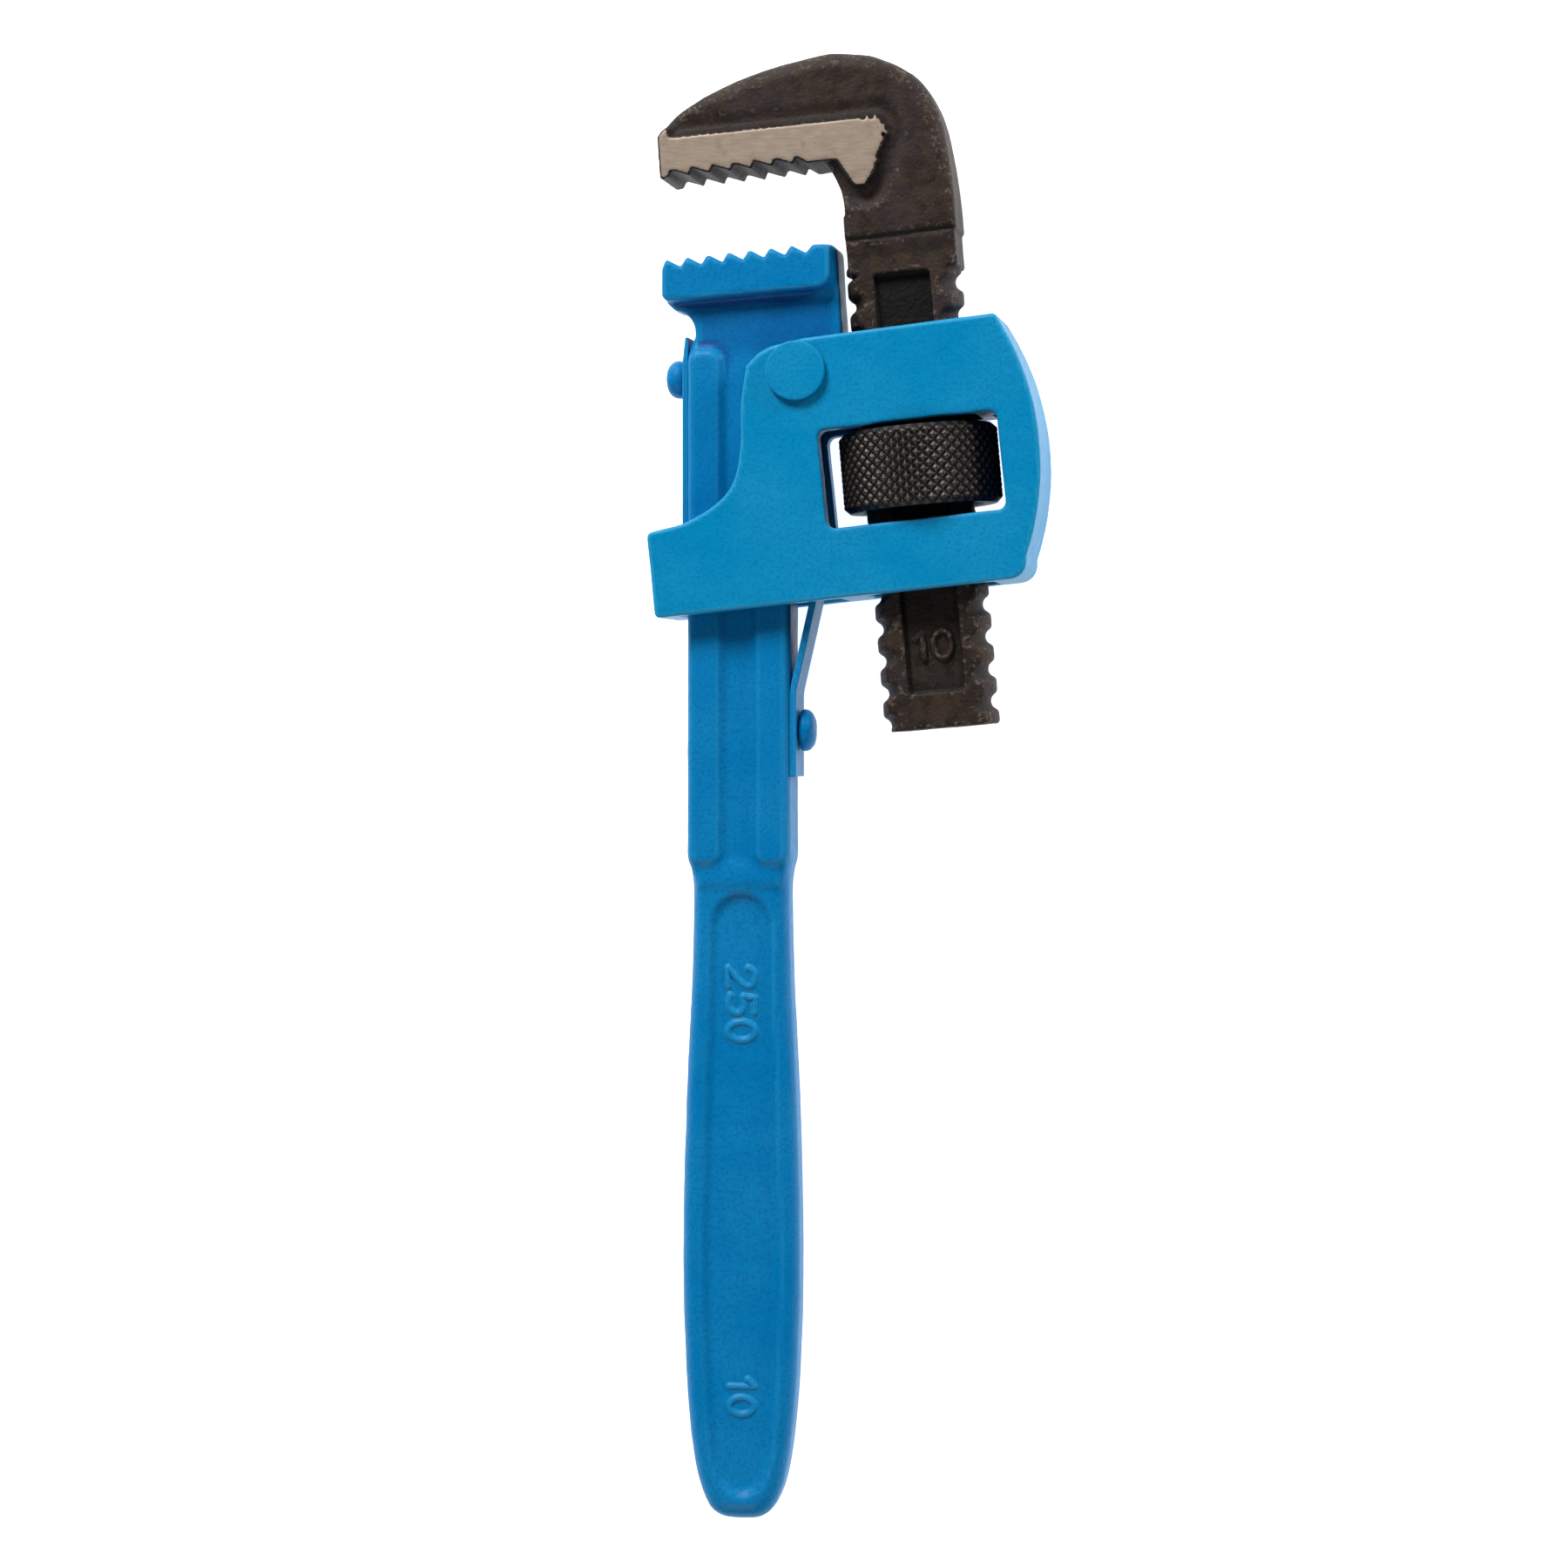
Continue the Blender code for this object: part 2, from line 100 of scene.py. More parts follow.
# Hook jaw and its rack
AXIS_X = 18.9
THREAD_PITCH = abs(1 / TURNS_PER_METRE) / MM
RIDGE_Y = 16.2
THREAD_RADIUS, GROOVE_RADIUS, GROOVE_LIFT = 10.0, 1.5, 0.25
RACK_END, NECK_Y = -63.2, 17.6
NECK_SWELL = 0.6
JAW_TIP_Y, JAW_VALLEY_Y, JAW_VALLEY_X, JAW_PITCH = 35.8, 37.0, -19.1, 3.65
JAW_STEEP = 0.6

# Nut
NUT_RADIUS, NUT_HEIGHT, NUT_Y = 13.6, 13.9, -18.05
NUT_COLUMNS, NUT_RIM_ROWS, NUT_BORE_ROWS = 560, 98, 36
NUT_BORE, NUT_RIDGE, CHAMFER = THREAD_RADIUS + 0.3, 0.95, 1.0
KNURL_STARTS, KNURL_LEAN, KNURL_FLAT = 40, math.radians(42), 0.62
KNURL_DEPTH, KNURL_PROUD = 0.42, 0.22
KNURL_ROOT = NUT_RADIUS + KNURL_PROUD - KNURL_DEPTH

# Shifts added to the curvature, which paint shade where they go under 0 and on the numbers also take away
# the edge chips, and the edge value of the nut's plain faces
NECK_SHADE, WINDOW_SHADE, NUMBER_SHADE_AND_WEAR = -0.85, -1.6, -0.5
WINDOW_SHADE_REACH = 0.7
PLAIN_WEAR = 0.1

# Size numbers: the corner that they start from, the digits' height and their pitch
GRIP_MM = (CENTRE_X - 2.0, -103.0), 4.7, 4.75
GRIP_INCH = (CENTRE_X - 1.8, -174.2), 4.3, 3.7
RACK_INCH = (15.3, -51.2), 4.7, 3.7
GRIP_RISE, RACK_RISE = 0.4, 0.8
DIGIT_STRETCH, STROKE, STROKE_SLOPE, STROKE_FOOT = 1.15, 0.9, 0.8, 0.97
NUMBER_MARGIN = 1.5

# Stage and camera, in metres apart from the lens
FLOOR_Z, FLOOR_REACH, FLOOR_GLOW, WORLD_GLOW = -0.0006, 6, 0.95, 0.09
CAMERA_PLACE, LENS, NEAREST = PIVOT + Vector((111, -63, 753)) * MM, 100.2, 0.01
CAMERA_TARGET = Vector((-0.00987, 0.00101, 0.0256))


# ---------------------------------------------------------------- outlines

def rounded(corners, steps=6):
    """Points of a closed outline, from (x, y) or (x, y, radius) corners."""
    points = []
    for i, corner in enumerate(corners):
        here = Vector(corner[:2])
        if len(corner) < 3:
            points.append(here)
            continue
        radius = corner[2]
        back = (Vector(corners[i - 1][:2]) - here).normalized()
        ahead = (Vector(corners[(i + 1) % len(corners)][:2]) - here).normalized()
        half = back.angle(ahead) / 2
        centre = here + (back + ahead).normalized() * radius / math.sin(half)
        first = here + back * radius / math.tan(half) - centre
        last = here + ahead * radius / math.tan(half) - centre
        angle = math.atan2(first.y, first.x)
        turn = (math.atan2(last.y, last.x) - angle + math.pi) % (2 * math.pi) - math.pi
        for k in range(steps + 1):
            at = angle + turn * k / steps
            points.append(centre + radius * Vector((math.cos(at), math.sin(at))))
    return points


def smooth(points, steps=5):
    """A Catmull-Rom curve through open (x, y) points, with its ends kept."""
    ends = [points[0], *points, points[-1]]
    curve = []
    for a, b, c, d in zip(ends, ends[1:], ends[2:], ends[3:]):
        a, b, c, d = Vector(a), Vector(b), Vector(c), Vector(d)
        for k in range(steps):
            t = k / steps
            pull = (c - a) * t + (2 * a - 5 * b + 4 * c - d) * t**2 + (3 * b - a - 3 * c + d) * t**3
            curve.append(tuple(b + pull / 2))
    return [*curve, tuple(points[-1])]


def mirrored(right_half, centre=CENTRE_X):
    """A closed outline from the (half width, y) points of its right side, listed top to bottom."""
    right = [(centre + half, y) for half, y in right_half]
    left = [(centre - half, y) for half, y in reversed(right_half) if half]
    return right + left


def rectangle(left, right, low, high, radius=0.0):
    corners = [(left, low), (right, low), (right, high), (left, high)]
    return [(x, y, radius) for x, y in corners] if radius else corners


# ---------------------------------------------------------------- distance fields

class Block:
    """A block of space with even cells, in millimetres."""

    def __init__(self, low, high, cell):
        self.low, self.cell = np.array(low, np.float32), cell
        counts = [int((b - a) / cell) + 2 for a, b in zip(low, high)]
        lines = [a + cell * np.arange(count, dtype=np.float32) for a, count in zip(low, counts)]
        self.x, self.y, self.z = np.meshgrid(*lines, indexing="ij", sparse=True)

    def outline(self, corners):
        """Distance in the plane to a closed outline."""
        points = [tuple(point[:2]) for point in rounded(corners)]
        x, y = self.x, self.y
        nearest = np.full(np.broadcast(x, y).shape, 1e6, np.float32)
        inside = np.zeros(nearest.shape, bool)
        for (ax, ay), (bx, by) in zip(points, points[1:] + points[:1]):
            ex, ey = bx - ax, by - ay
            along = np.clip(((x - ax) * ex + (y - ay) * ey) / max(ex * ex + ey * ey, 1e-9), 0, 1)
            nearest = np.minimum(nearest, np.hypot(x - ax - along * ex, y - ay - along * ey))
            if ay != by:
                inside ^= ((ay > y) != (by > y)) & (x < ax + (y - ay) / (by - ay) * ex)
        return np.where(inside, -nearest, nearest)

    def prism(self, corners, half, edge=0.3):
        """A flat plate about mid-depth, with its edges rounded to a radius."""
        return meet(self.outline(corners), np.abs(self.z) - half, edge)

    def turned(self, x, radius, edge, low, high):
        """A cylinder along Y between two heights."""
        side = np.hypot(self.x - x, self.z) - radius
        return meet(side, np.maximum(low - self.y, self.y - high), edge)


def join(a, b, fillet=0.0):
    """The union, with a round fillet in the corner between the two. The radius may vary over the block."""
    if np.isscalar(fillet) and not fillet:
        return np.minimum(a, b)
    corner = np.hypot(np.maximum(fillet - a, 0), np.maximum(fillet - b, 0))
    return np.maximum(fillet, np.minimum(a, b)) - corner


def meet(a, b, edge=0.0):
    """The intersection, with a round edge."""
    return -join(-a, -b, edge)


def cut(solid, tool, edge=0.0):
    return meet(solid, -tool, edge)


# ---------------------------------------------------------------- meshes

def axes(tilt):
    return Matrix.Translation(PIVOT) @ Matrix.Rotation(tilt, 4, "Z")


def mesh_object(name, points, faces, edges, place):
    """A smooth-shaded object from points in millimetres, with its edge value for chips, rubbing, painted
    highlight and painted shade as a point attribute.
    """
    mesh = bpy.data.meshes.new(name)
    mesh.from_pydata((np.asarray(points) * MM).tolist(), [], faces.tolist())
    mesh.transform(place)
    mesh.shade_smooth()
    shade_and_wear = mesh.attributes.new("edge", "FLOAT", "POINT")
    shade_and_wear.data.foreach_set("value", np.asarray(edges, np.float32))
    made = bpy.data.objects.new(name, mesh)
    bpy.context.scene.collection.objects.link(made)
    return made


def neighbours(inner):
    """The slices of the cells ahead of and behind the inner ones, along each axis."""
    for axis in range(3):
        ahead, back = list(inner), list(inner)
        ahead[axis], back[axis] = slice(2, None), slice(None, -2)
        yield tuple(ahead), tuple(back)


def skin(name, block, field, place, shade_and_wear=0.0):
    """The surface of a field. Its edge attribute is curvature plus a shift: over 0 it gives chips, rubbing
    and painted highlights on edges, under 0 painted shade.
    """
    band = 3 * block.cell
    grid = openvdb.FloatGrid(band)
    grid.copyFromArray(np.clip(field, -band, band).astype(np.float32))
    cells, _, faces = grid.convertToPolygons(0.0, 0.0)
    curvature = np.zeros(field.shape, np.float32)
    inner = (slice(1, -1),) * 3
    for ahead, back in neighbours(inner):
        curvature[inner] += field[ahead] + field[back] - 2 * field[inner]
    for ahead, back in neighbours(inner):
        curvature[inner] = (curvature[ahead] + curvature[back] + 2 * curvature[inner]) / 4
    nearest = tuple(np.clip(np.rint(cells).astype(int), 1, np.array(field.shape) - 2).T)
    curvature = curvature / block.cell**2 + shade_and_wear
    edges = np.clip(curvature[nearest], -1.5, 1.5)
    return mesh_object(name, block.low + block.cell * cells, faces, edges, place)


def revolved(name, profile, place, segments=96):
    """A turned piece about its own Z, from (radius, height) points listed top to bottom."""
    radius, height = np.array([tuple(point) for point in profile]).T
    angle = np.arange(segments) * 2 * math.pi / segments
    ring = np.stack([np.cos(angle), np.sin(angle), np.zeros(segments)], axis=1)
    up = np.array([0, 0, 1])
    points = ring[None] * np.maximum(radius, 0)[:, None, None] + up * height[:, None, None]
    row, column = np.arange(len(radius) - 1)[:, None] * segments, np.arange(segments)[None]
    below, after = row + segments, (column + 1) % segments
    faces = np.stack([row + column, below + column, below + after, row + after], axis=-1)
    edges = np.zeros(points.size // 3)
    return mesh_object(name, points.reshape(-1, 3), faces.reshape(-1, 4), edges, place)


def weld(piece):
    """Joins the points that lie together on the axis."""
    joined = piece.modifiers.new("weld", "WELD")
    joined.merge_threshold = 1e-6


def forge(piece, strength, size):
    """Gives the surface the shallow unevenness of a forging."""
    clouds = bpy.data.textures.new(piece.name + "_forging", "CLOUDS")
    clouds.noise_scale = size * MM
    clouds.noise_depth = 2
    uneven = piece.modifiers.new("forging", "DISPLACE")
    uneven.texture = clouds
    uneven.texture_coords = "LOCAL"
    uneven.strength = strength * MM
    uneven.mid_level = 0.5


def finish_piece(piece, body, finish, slot, *nodes):
    piece.data.materials.append(finish)
    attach(piece, body)
    if nodes:
        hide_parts(*nodes)
    return piece


# ---------------------------------------------------------------- materials

class Finish:
    """A node material on a piece's own axes, built with short calls."""

    def __init__(self, name):
        self.material = bpy.data.materials.new(name)
        self.material.use_nodes = True
        self.tree = self.material.node_tree
        self.shader = self.tree.nodes["Principled BSDF"]
        self.place = self.tree.nodes.new("ShaderNodeTexCoord").outputs["Object"]

    def node(self, kind, settings=None, **inputs):
        made = self.tree.nodes.new(kind)
        for key, value in (settings or {}).items():
            setattr(made, key, value)
        for key, value in inputs.items():
            socket = made.inputs[key.replace("_", " ")]
            self.feed(socket, value)
        return made

    def feed(self, socket, value):
        if isinstance(value, bpy.types.NodeSocket):
            self.tree.links.new(value, socket)
        else:
            socket.default_value = value

    def math(self, operation, a, b=0.0, clamp=False):
        made = self.tree.nodes.new("ShaderNodeMath")
        made.operation, made.use_clamp = operation, clamp
        self.feed(made.inputs[0], a)
        self.feed(made.inputs[1], b)
        return made.outputs[0]

    def times(self, a, b):
        return self.math("MULTIPLY", a, b)

    def part(self, vector, axis):
        return self.node("ShaderNodeSeparateXYZ", Vector=vector).outputs[axis]

    def noise(self, size, detail=3.0, stretch=(1, 1, 1)):
        """Noise with features of about a size in millimetres."""
        place = self.place
        if stretch != (1, 1, 1):
            place = self.node("ShaderNodeMapping", Vector=place, Scale=stretch).outputs[0]
        made = self.node("ShaderNodeTexNoise", Vector=place, Scale=1 / (size * MM), Detail=detail)
        return made.outputs["Fac"]

    def ramp(self, value, low, high):
        """0 below low, 1 above high, smooth between."""
        made = self.node("ShaderNodeMapRange", {"interpolation_type": "SMOOTHSTEP"}, Value=value)
        self.feed(made.inputs["From Min"], low)
        self.feed(made.inputs["From Max"], high)
        return made.outputs[0]

    def blend(self, amount, a, b):
        made = self.node("ShaderNodeMix", {"data_type": "RGBA"})
        self.feed(made.inputs["Factor"], amount)
        self.feed(made.inputs[6], a)
        self.feed(made.inputs[7], b)
        return made.outputs[2]

    def between(self, amount, a, b):
        made = self.node("ShaderNodeMix", {"data_type": "FLOAT"})
        self.feed(made.inputs[0], amount)
        self.feed(made.inputs[2], a)
        self.feed(made.inputs[3], b)
        return made.outputs[0]

    def edge(self):
        return self.node("ShaderNodeAttribute", {"attribute_name": "edge"}).outputs["Fac"]

    def bump(self, height, depth, normal=None):
        made = self.node("ShaderNodeBump", Height=height, Distance=depth * MM, Strength=1.0)
        if normal:
            self.feed(made.inputs["Normal"], normal)
        return made.outputs[0]

    def set(self, **values):
        for key, value in values.items():
            self.feed(self.shader.inputs[key.replace("_", " ")], value)
        return self.material


def colour(hex_code):
    """Linear colour from an sRGB hex code."""
    parts = [int(hex_code[i:i + 2], 16) / 255 for i in (0, 2, 4)]
    return (*(c / 12.92 if c <= 0.04045 else ((c + 0.055) / 1.055) ** 2.4 for c in parts), 1.0)


def enamel(name, body, light, dark, deep):
    """Satin enamel over a forging, with painted shade in its hollows and a painted highlight on its convex
    edges.
    """
    made = Finish(name)
    edge = made.edge()
    cloud = made.noise(14, 2)
    speck = made.noise(0.55, 2)
    tone = made.blend(made.ramp(cloud, 0.3, 0.7), body, made.blend(0.12, body, light))
    tone = made.blend(made.times(made.ramp(speck, 0.42, 0.7), 0.5), tone, dark)
    # Painted highlight: convex edges blend towards the light blue.
    edge_highlight = made.times(made.ramp(edge, 0.3, 1.4), 0.26)
    tone = made.blend(edge_highlight, tone, light)
    # Painted shade: hollows, and the shifted neck and window edges, blend towards the dark violet blue.
    painted_shade = made.times(made.ramp(made.times(edge, -1.0), 0.4, 1.3), 0.75)
    tone = made.blend(painted_shade, tone, deep)
    peel = made.bump(made.noise(0.7, 2), 0.05)
    uneven = made.bump(made.noise(3.5, 2), 0.09, peel)
    return made.set(
        Base_Color=tone,
        Roughness=made.between(made.noise(2.0, 3), 0.3, 0.46),
        Specular_IOR_Level=0.3,
        IOR=1.25,
        Normal=uneven,
    )


def scale_tone(made, cloud, grain):
    """Mottled dark brown, with grey patches, pale grit along the edges and painted shade in the hollows.
    """
    edge = made.edge()
    tone = made.blend(made.ramp(cloud, 0.36, 0.64), colour("221914"), colour("362920"))
    tint = made.times(made.ramp(made.noise(8, 2), 0.48, 0.58), 0.4)
    tone = made.blend(tint, tone, colour("322A2E"))
    tone = made.blend(made.times(made.ramp(grain, 0.52, 0.75), 0.4), tone, colour("4E3E31"))
    patches = made.times(made.ramp(made.noise(2.2, 3), 0.5, 0.7), made.ramp(grain, 0.6, 0.72))
    chips = made.times(made.ramp(edge, 0.1, 0.5), made.ramp(made.noise(0.8, 5), 0.54, 0.66))
    grit = made.math("ADD", made.times(patches, 0.7), chips)
    tone = made.blend(made.math("MULTIPLY", grit, 0.34, True), tone, colour("857769"))
    # Painted shade: hollows darken towards near black.
    hollow = made.ramp(made.times(edge, -1.0), 0.05, 0.9)
    return made.blend(made.times(hollow, 0.7), tone, colour("120F0D"))


def recess_shade(made, tone, height, facing):
    """Paints shade on the floors of the recesses, darkest near the head."""
    deep = made.math("LESS_THAN", height, (RECESS + 0.4) * MM)
    sunk = made.times(deep, made.ramp(facing, 0.5, 0.7))
    along = made.part(made.place, "Y")
    shade_strength = made.between(made.ramp(along, PIVOT.y - 0.006, PIVOT.y + 0.003), 0.35, 0.9)
    return made.blend(made.times(sunk, shade_strength), tone, colour("050404"))


def steel_tone(made, grain, brushed):
    """Ground steel, brushed along its length, with duller blotches and dark pits."""
    tone = made.blend(brushed, colour("908272"), colour("BBA998"))
    blotch = made.ramp(made.noise(2.5, 3), 0.55, 0.75)
    tone = made.blend(made.times(blotch, 0.35), tone, colour("7D6F64"))
    return made.blend(made.times(made.ramp(grain, 0.66, 0.76), 0.5), tone, colour("4A413A"))


def ground_mask(made, height, facing):
    """1 on the pad's flats, which stand proud of the rest, with a ragged edge."""
    ragged = made.times(made.math("SUBTRACT", made.noise(0.9, 3), 0.5), 0.2 * MM)
    proud = made.math("ADD", height, ragged)
    proud = made.ramp(proud, (PAD - 0.12) * MM, (PAD - 0.08) * MM)
    return made.times(proud, made.ramp(facing, 0.88, 0.97))


def forged_scale(name):
    """Dark brown forging scale, and bright ground steel on the pad's side faces."""
    made = Finish(name)
    cloud = made.noise(2.6, 4)
    grain = made.noise(0.35, 2)
    brushed = made.noise(0.4, 4, stretch=(0.16, 1.0, 1.0))
    height = made.math("ABSOLUTE", made.math("SUBTRACT", made.part(made.place, "Z"), PIVOT.z))
    normal = made.node("ShaderNodeTexCoord").outputs["Normal"]
    facing = made.math("ABSOLUTE", made.part(normal, "Z"))
    ground = ground_mask(made, height, facing)
    # The scale's colour, with painted shade on the recess floors.
    scale = recess_shade(made, scale_tone(made, cloud, grain), height, facing)
    uneven = made.node("ShaderNodeMix", {"data_type": "VECTOR"})
    made.feed(uneven.inputs["Factor"], ground)
    made.feed(uneven.inputs[4], made.bump(made.noise(0.7, 4), 0.16))
    made.feed(uneven.inputs[5], made.bump(brushed, 0.012))
    return made.set(
        Base_Color=made.blend(ground, scale, steel_tone(made, grain, brushed)),
        Metallic=made.between(ground, 0.0, 0.3),
        Roughness=made.between(ground, made.between(cloud, 0.5, 0.75), 0.42),
        Specular_IOR_Level=0.2,
        Normal=uneven.outputs[1],
    )


def black_oxide(name):
    """Oiled black oxide, rubbed back to brown metal on the tips of the knurl."""
    made = Finish(name)
    edge = made.edge()
    base = made.blend(made.noise(3, 3), colour("100D0B"), colour("211C19"))
    rubbed = made.times(made.ramp(edge, 0.45, 0.95), made.between(made.noise(2.2, 3), 0.15, 1.0))
    tone = made.blend(rubbed, base, colour("564D46"))
    return made.set(
        Base_Color=tone,
        Metallic=0.55,
        Roughness=made.between(made.noise(0.6, 3), 0.3, 0.5),
        Normal=made.bump(made.noise(0.5, 3), 0.03),
    )


# ---------------------------------------------------------------- the wrench

def pin_bore(block):
    return np.hypot(block.x, block.y) - PIN_RADIUS - PIN_GAP


def heel_teeth():
    """Saw teeth that are steep on the left, each tip followed by its valley."""
    x, y = HEEL_TIP
    for i in range(TEETH):
        yield (x + i * HEEL_PITCH, y + i * HEEL_RISE)
        yield (x + i * HEEL_PITCH + HEEL_SLOPE, y + i * HEEL_RISE - HEEL_DEPTH)


def handle_shank(block):
    """The flat shank, with a boss round the pin and two raised rails on each flat."""
    angles = [math.radians(degrees) for degrees in range(-52, 1, 13)]
    boss = [(BOSS_RADIUS * math.cos(a), BOSS_RADIUS * math.sin(a)) for a in angles]
    shank = [
        (SHANK_RIGHT - 1.6, SHANK_END - 4), (SHANK_RIGHT, SHANK_END, 2), (SHANK_RIGHT, -15.5, 3),
        *boss, (7.1, 8.8, 2), (6.2, 22.1, 1.2), (2.4, 22.0), (0.5, 19),
        (-22, 17), (-23.2, 15), (-23.2, 12.4, 1), (-22.2, 11.2, 1), (-18.6, 11.2, 3.6),
        (-18.6, 6.6), (SHANK_LEFT, 5), (SHANK_LEFT, SHANK_END, 2), (SHANK_LEFT + 1.6, SHANK_END - 4),
    ]
    solid = block.prism(shank, PLATE, 0.9)
    right_rail = SHANK_RIGHT - 0.2 - RAIL_WIDTH
    for left, left_top, right_top in ((SHANK_LEFT + 0.1, 3.8, 3.8), (right_rail, -11, -16)):
        right = left + RAIL_WIDTH
        rail = [(left, SHANK_END), (right, SHANK_END), (right, right_top), (left, left_top)]
        rail = [(x, y, RAIL_CORNER) for x, y in rail]
        solid = join(solid, block.prism(rail, RAIL, 0.7), 2.0)
    return solid


def heel_jaw(block):
    """The fixed jaw, a thick slab with teeth along its top."""
    slab = [
        (-23.9, 13.4, 1), (-23.1, 12.6, 1), (5.6, 14.8, 2.5), (5.4, 22.1, 1),
        (2.5, 22.0), *reversed(list(heel_teeth())), (-23.9, 18.2),
    ]
    return block.prism(slab, HEEL, 0.45)


def grip_bar(block):
    outline = mirrored(smooth([
        (8.5, SHANK_END + 1), (8.45, -92), (8.75, -105), (9.65, -123.5), (10.3, -146), (10.25, -161),
        (9.6, -177), (8.3, -189), (6.2, -196.2), (3.6, -198.8), (0, -199.25),
    ]))
    return block.prism(outline, GRIP, 3.4)


def grip_panel(block):
    """The long hollow in each flat of the grip."""
    top = [(0, -90.4), (1.8, -90.7), (3.3, -91.7), (4.4, -93.2), (5.0, -95.2)]
    side = smooth([
        (5.1, -97), (5.3, -112), (5.8, -126), (6.1, -140),
        (6.4, -151), (6.3, -161), (5.8, -175), (5.1, -187),
    ])
    end = [(4.5, -190), (3.6, -192.4), (2.4, -193.9), (1.2, -194.6), (0, -194.8)]
    panel = block.outline(mirrored([*top, *side, *end], CENTRE_X + PANEL_SHIFT))
    return meet(panel, PANEL - np.abs(block.z), 1.3)


def make_handle(finish):
    block = Block((-25, -200.2, -9), (8.6, 23.2, 9), HANDLE_CELL)
    solid = join(handle_shank(block), heel_jaw(block), 1.1)
    solid = join(solid, grip_bar(block), 1.6)
    solid = cut(solid, grip_panel(block), 1.0)
    solid = cut(solid, pin_bore(block))
    # Painted shade on the neck, between the heel slab and the frame.
    neck = np.clip((block.y + 3) / 8, 0, 1) * (block.y < 13.5) * (np.abs(block.z) < PLATE + 0.4)
    piece = skin("handle_forging", block, solid, axes(0), NECK_SHADE * neck)
    forge(piece, 0.16, 7)
    return finish_piece(piece, "handle", finish, "blue_enamel", "handle")


def frame_outline():
    """A cheek's outline: the flat foot, the rounded right end, the top and the throat on the left."""
    centre_x, centre_y = END_CENTRE
    levels = np.linspace(-36, 4.8, 17)
    end = [(centre_x + math.sqrt(END_RADIUS**2 - (y - centre_y) ** 2), y) for y in levels]
    throat = smooth([
        (-8.5, 2.0), (-10.1, -4.2), (-11.0, -11.7), (-12.9, -17.8), (-16.4, -21.2), (-21.9, -23.7),
        (-25.5, -24.3),
    ])
    return [
        (-28.95, -39.6, 0.8), (36.0, -39.6, 3), *end, (35.1, 5.9, 0.8),
        (1.7, 5.5), (-4.3, 4.7), (-6.5, 3.7), *throat, (-28.9, -24.8, 1),
    ]


def make_frame(finish):
    """The housing: a passage for the shank, one for the rack, and a window through each cheek."""
    block = Block((-30, -40.6, -11.4), (42, 7.2, 11.4), FRAME_CELL)
    solid = block.prism(frame_outline(), CHEEK, 0.45)
    passage = [
        (-25.2, -50), (2.8, -50), (2.8, -28.4), (7.6, -28.4),
        (7.6, -50), (29.5, -50), (29.5, 20), (-25.2, 20),
    ]
    solid = cut(solid, block.prism(passage, SLOT, 0.4), 0.5)
    for face, shift in ((-1, WINDOW_OFFSET), (1, 0.0)):
        left, right = WINDOW_LEFT - shift, WINDOW_RIGHT - shift
        window = block.outline(rectangle(left, right, WINDOW_LOW, WINDOW_HIGH, WINDOW_CORNER))
        solid = cut(solid, np.maximum(window, -face * block.z), 0.3)
    solid = cut(solid, pin_bore(block))
    # Painted shade along the window's edges, fading over a short reach.
    painted_shade = WINDOW_SHADE * np.exp(-(window / WINDOW_SHADE_REACH) ** 2)
    piece = skin("frame_forging", block, solid, axes(FRAME_TILT), painted_shade)
    forge(piece, 0.12, 6)
    return finish_piece(piece, "frame", finish, "blue_enamel", "frame")


def make_pin(finish):
    radius, height = PIN_HEAD
    top = CHEEK + height
    upper = [(0, top), (radius - 1, top), (radius, top, 0.35), (radius, CHEEK), (PIN_RADIUS, CHEEK)]
    lower = [(PIN_RADIUS, -CHEEK), (radius, -CHEEK), (radius, -top, 0.35), (radius - 1, -top), (0, -top)]
    piece = revolved("pivot_pin", rounded(upper + lower), axes(0))
    weld(piece)
    return finish_piece(piece, "frame", finish, "blue_enamel", "frame_pin")


def jaw_teeth():
    """Saw teeth that are steep on the right, each tip followed by its valley."""
    for i in range(TEETH):
        x = JAW_VALLEY_X + i * JAW_PITCH
        yield (x - JAW_STEEP, JAW_TIP_Y)
        yield (x, JAW_VALLEY_Y)


def thread(block):
    """The helical groove of the rack, as a round channel that winds about the rack's axis."""
    across, depth = block.x - AXIS_X, block.z
    turn = np.arctan2(depth, across) / (2 * math.pi)
    groove_y = RIDGE_Y - THREAD_PITCH / 2 - THREAD_PITCH * turn
    along = (block.y - groove_y + THREAD_PITCH / 2) % THREAD_PITCH - THREAD_PITCH / 2
    return np.hypot(np.hypot(across, depth) - THREAD_RADIUS - GROOVE_LIFT, along) - GROOVE_RADIUS


def hook_rack(block):
    """The threaded shank with two flats and the neck above it, and a long recess in each flat."""
    rack = block.turned(AXIS_X, THREAD_RADIUS, 0.6, RACK_END, NECK_Y)
    rack = cut(rack, np.maximum(thread(block), block.y - NECK_Y + 1.5), 0.45)
    neck = block.prism(rectangle(9.9, 28.9, NECK_Y - 1.6, 26), SHANK + 1, 0.5)
    swell = NECK_SWELL * np.clip((block.y - 19) / 2.5, 0, 1)
    rack = meet(join(rack, neck, 0.4), np.abs(block.z) - SHANK - swell, 0.35)
    recess = block.outline(rectangle(14.2, 23.9, -57, 15.7, 0.8))
    return cut(rack, meet(recess, RECESS - np.abs(block.z), 0.3), 0.2)


def pad_field(block):
    """Distance in the plane to the toothed pad, whose right end turns down into the throat."""
    return block.outline([
        (-21.3, 35.6), *jaw_teeth(), (4.6, 35.7), (6.9, 35.8), (9.7, 35.8, 0.6), (11.4, 32.8),
        (12.4, 31.0, 0.7), (14.5, 30.8, 0.9), (15.9, 33.0, 1), (19.1, 40.4, 1.5), (17.4, 42.7, 1),
        (-18.9, 42.8), (-19.4, 44.7), (-21.2, 43.0, 0.4),
    ])


